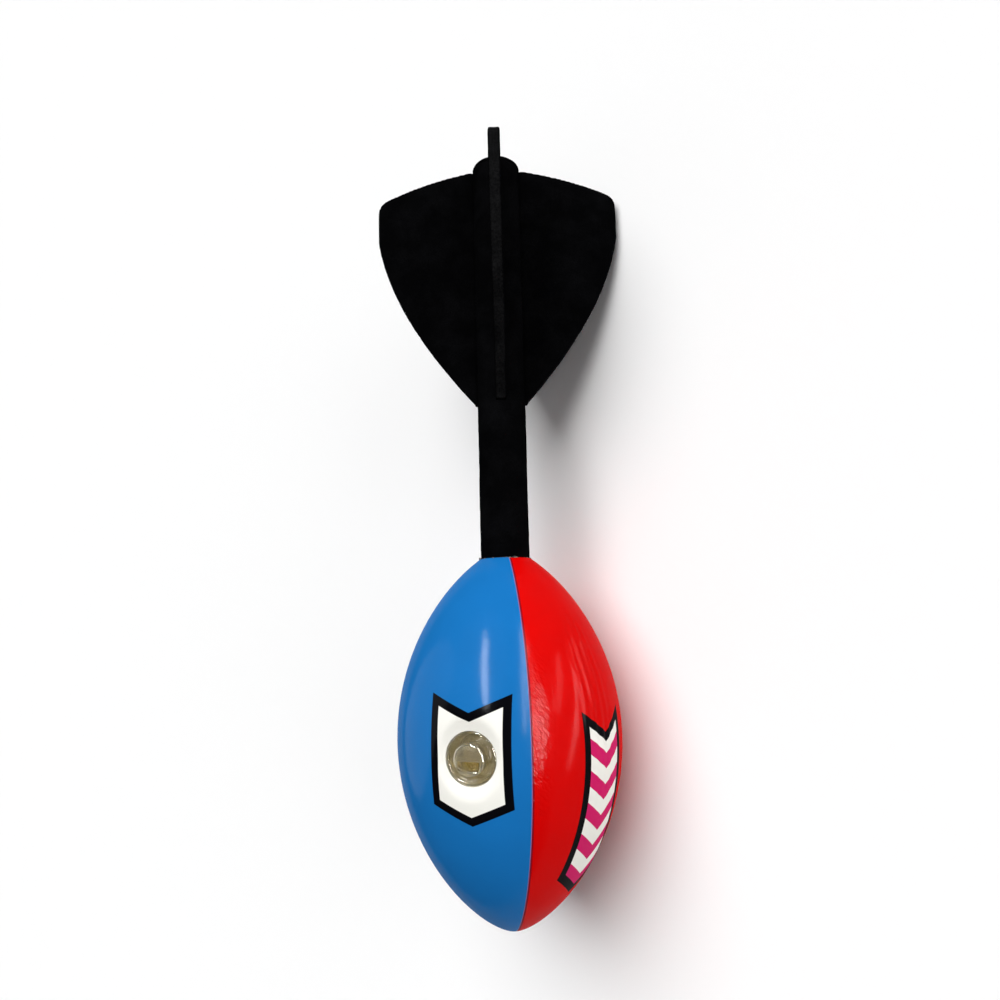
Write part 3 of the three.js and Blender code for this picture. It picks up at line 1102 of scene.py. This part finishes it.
class TOY_OT_whistles(Operator):
    """Build the two clear whistles, each a cup and a slotted drum"""

    bl_idname = "toy.whistles"
    bl_label = "Whistles"

    def execute(self, context):
        colours = sizes("colours")
        drum_finish = smoky_plastic("drum_plastic", colours.clear, clearness=0.88, cover=1.0)
        for side, turn in zip(WHISTLE_SIDES, whistle_turns()):
            cup, drum = side + "_whistle_cup", side + "_whistle_drum"
            cup_finish = smoky_plastic(
                side + "_cup_plastic", colours.smoke, clearness=0.75, cover=0.7, turn=turn
            )
            piece(side + "_cup", whistle_cup(turn), (cup_finish,), "clear_plastic", cup)
            piece(side + "_drum", whistle_drum(turn), (drum_finish,), "clear_plastic", drum)
        return {"FINISHED"}


class TOY_OT_sleeve(Operator):
    """Build the foam sleeve, its end cap and the glue at the ball's mouth"""

    bl_idname = "toy.sleeve"
    bl_label = "Tail sleeve"

    def execute(self, context):
        foam = tail_foam()
        sleeve = piece("sleeve", sleeve_body(), (foam,), "tail_foam", "tail_sleeve")
        cap = piece("end_cap", cap_body(), (foam,), "tail_foam", "tail_end_cap")
        piece("glue_bead", glue_body(), (glue(),), "tail_foam")
        return {"FINISHED"}


class TOY_OT_fins(Operator):
    """Build the four foam fins"""

    bl_idname = "toy.fins"
    bl_label = "Fins"

    def execute(self, context):
        foam = bpy.data.materials.get(FOAM) or tail_foam()
        for index, side in enumerate(FIN_SIDES):
            bm = fin_body(index * math.pi / 2, float(index))
            made = piece(side + "_sheet", bm, (foam,), "tail_foam", side + "_fin")
        return {"FINISHED"}


class TOY_OT_rod(Operator):
    """Give the rod and its anchor their plastic finish"""

    bl_idname = "toy.rod"
    bl_label = "Rod and anchor"

    def execute(self, context):
        finish = white_plastic()
        for node in ("tail_rod", "rod_anchor"):
            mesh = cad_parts[node].data
            mesh.materials.clear()
            mesh.materials.append(finish)
        return {"FINISHED"}


def studio_light(name, kind, turn, tilt, power, distance=1.0, **settings):
    """A light turned to the ball, placed round it and up towards the tail by degrees."""
    place = toy_place()
    turn, tilt = math.radians(turn), math.radians(tilt)
    flat = Vector((math.sin(turn), 0.0, math.cos(turn))) * math.cos(tilt)
    back = place.to_3x3() @ (flat + Vector((0.0, math.sin(tilt), 0.0)))
    data = bpy.data.lights.new(name, kind)
    data.energy = power
    for key, value in settings.items():
        setattr(data, key, value)
    light = in_scene(name, data)
    light.visible_camera = False
    long_side = back.cross(place.col[0].to_3d()).normalized()
    turned = Matrix((long_side.cross(back), long_side, back)).transposed().to_4x4()
    turned.translation = place.translation + back * distance
    light.matrix_world = turned
    return light


def set_world():
    """A dim even light from all round, in front of a pale wall."""
    world = bpy.data.worlds.new("studio")
    world.use_nodes = True
    tree = world.node_tree
    light, wall = tree.nodes["Background"], tree.nodes.new("ShaderNodeBackground")
    dim, pale = 0.14, 0.8
    for background, strength in ((light, dim), (wall, pale)):
        background.inputs["Color"].default_value = (1.0, 1.0, 1.0, 1.0)
        background.inputs["Strength"].default_value = strength
    mix = tree.nodes.new("ShaderNodeMixShader")
    seen = tree.nodes.new("ShaderNodeLightPath").outputs["Is Camera Ray"]
    for source, target in zip((seen, light.outputs[0], wall.outputs[0]), mix.inputs):
        tree.links.new(source, target)
    tree.links.new(mix.outputs[0], tree.nodes["World Output"].inputs["Surface"])
    bpy.context.scene.world = world


def set_lights():
    """Broad soft light from the camera's side, and strips of light that only show as reflections."""
    soft = math.radians(60)
    broad = (
        ("key", -36, 33, 3.3),
        ("fill", 46, 14, 2.0),
    )
    for name, turn, tilt, power in broad:
        light = studio_light(name, "SUN", turn, tilt, power, angle=soft)
        light.visible_glossy = False
    strips = (
        ("left_panel", -95, 5, 0.6, 3.0, 0.5, 0.9),
        ("tall_strip", -26.8, 32, 0.6, 7.0, 0.07, 0.44),
        ("seam_strip", 18, 28, 0.6, 4.3, 0.055, 0.66),
        ("crease_strip", 28.5, 1, 0.6, 11.0, 0.13, 0.34),
        ("side_strip", 44.5, 24.6, 0.091, 0.012, 0.009, 0.05),
        ("fold_strip", 58.6, 14.6, 0.087, 0.045, 0.008, 0.11),
    )
    for name, turn, tilt, distance, power, width, height in strips:
        light = studio_light(
            name, "AREA", turn, tilt, power, distance, shape="ELLIPSE", size=width, size_y=height
        )
        light.visible_diffuse = False


def set_camera():
    """Puts the camera where the photograph was taken from."""
    place = toy_place()
    tilt, pan, roll = math.radians(5.64), math.radians(0.82), math.radians(-1.47)
    aim = Matrix.Rotation(tilt, 4, "X") @ Matrix.Rotation(pan, 4, "Y") @ Matrix.Rotation(roll, 4, "Z")
    data = bpy.data.cameras.new("camera")
    data.sensor_width = 36.0
    data.lens = 25.65
    data.shift_y = 0.0384
    data.clip_start = 0.01
    camera = in_scene("camera", data)
    stand = Matrix.Translation((0.0019, 0.0426, 0.2489))
    camera.matrix_world = place @ stand @ aim
    bpy.context.scene.camera = camera


class TOY_OT_stage(Operator):
    """Set the pale floor, the soft lights and the camera"""

    bl_idname = "toy.stage"
    bl_label = "Stage"

    def execute(self, context):
        half_width = 12.0
        bm = bmesh.new()
        bmesh.ops.create_grid(bm, x_segments=1, y_segments=1, size=half_width)
        floor = meshed("floor", bm)
        pale = opaque(sizes("colours").floor)
        paper = Finish("floor_paper", Base_Color=pale, Roughness=0.9, Specular_IOR_Level=0.0)
        floor.data.materials.append(paper.material)
        context.scene.view_settings.view_transform = "Standard"
        set_world()
        set_lights()
        set_camera()
        return {"FINISHED"}


class TOY_PT_panel(Panel):
    """The steps that build the throwing toy"""

    bl_label = "Throwing Toy"
    bl_space_type = "VIEW_3D"
    bl_region_type = "UI"
    bl_category = "Throwing Toy"

    def draw(self, context):
        for step in STEPS:
            self.layout.operator(step.bl_idname)


STEPS = (
    TOY_OT_stage,
    TOY_OT_covers,
    TOY_OT_core,
    TOY_OT_whistles,
    TOY_OT_sleeve,
    TOY_OT_fins,
    TOY_OT_rod,
)


def register():
    """Registers the sizes, the steps and the panel."""
    for name, group in GROUPS.items():
        bpy.utils.register_class(group)
        setattr(bpy.types.Scene, name, PointerProperty(type=group))
    for step in (*STEPS, TOY_PT_panel):
        bpy.utils.register_class(step)


def unregister():
    """Takes everything back out again."""
    for step in reversed((*STEPS, TOY_PT_panel)):
        bpy.utils.unregister_class(step)
    for name, group in reversed(GROUPS.items()):
        delattr(bpy.types.Scene, name)
        bpy.utils.unregister_class(group)


def main():
    """Builds the toy."""
    register()
    for step in STEPS:
        family, name = step.bl_idname.split(".")
        getattr(getattr(bpy.ops, family), name)()


if __name__ == "__main__":
    main()
